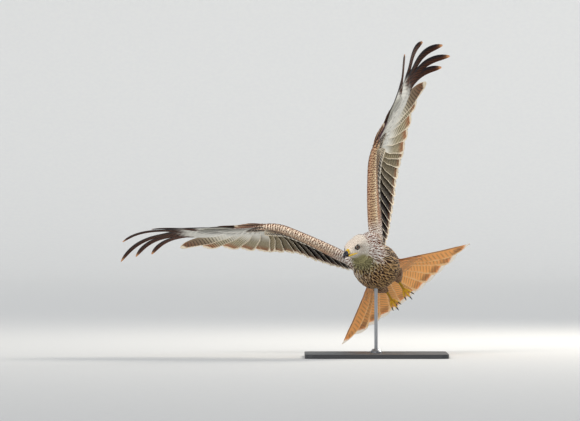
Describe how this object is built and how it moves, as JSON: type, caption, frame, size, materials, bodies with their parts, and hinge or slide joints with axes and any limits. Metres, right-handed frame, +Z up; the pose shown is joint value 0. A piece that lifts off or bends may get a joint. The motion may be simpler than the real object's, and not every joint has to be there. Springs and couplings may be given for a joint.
{
  "type": "red kite bird on a display stand",
  "caption": "Life-size still model of a bird of prey in banking flight, wings raised and forked tail fanned, held over a flat base by a single rod.",
  "frame": {"origin": "Middle of the underside of the stand's base, which lies on the floor.", "axes": "+Z up. +X is the right of the picture and -Y points to its camera. The bird faces -Y, banked so that its left wing is raised towards +X and +Z."},
  "size_m": [1.0494, 0.5852, 0.937],
  "materials": {
    "plumage_belly": "matte",
    "plumage_neck": "matte",
    "plumage_head": "matte",
    "plumage_wing": "matte",
    "plumage_tail": "matte",
    "yellow_skin": "satin",
    "horn": "satin",
    "eye": "gloss",
    "stand_paint": "matte",
    "stand_steel": "brushed"
  },
  "bodies": {
    "root": {"torso": "plumage_belly", "neck": "plumage_neck", "head": "plumage_head", "cere": "yellow_skin", "bill_upper": "horn", "bill_lower": "horn", "eye_left": "eye", "eye_right": "eye", "wing_left_arm": "plumage_wing", "wing_left_hand": "plumage_wing", "wing_right_arm": "plumage_wing", "wing_right_hand": "plumage_wing", "tail": "plumage_tail", "thigh_left": "plumage_belly", "thigh_right": "plumage_belly", "foot_left": "yellow_skin", "foot_right": "yellow_skin", "claw_left_1": "horn", "claw_left_2": "horn", "claw_left_3": "horn", "claw_left_4": "horn", "claw_right_1": "horn", "claw_right_2": "horn", "claw_right_3": "horn", "claw_right_4": "horn", "stand_base": "stand_paint", "stand_collar": "stand_steel", "stand_rod": "stand_steel"}
  },
  "joints": []
}
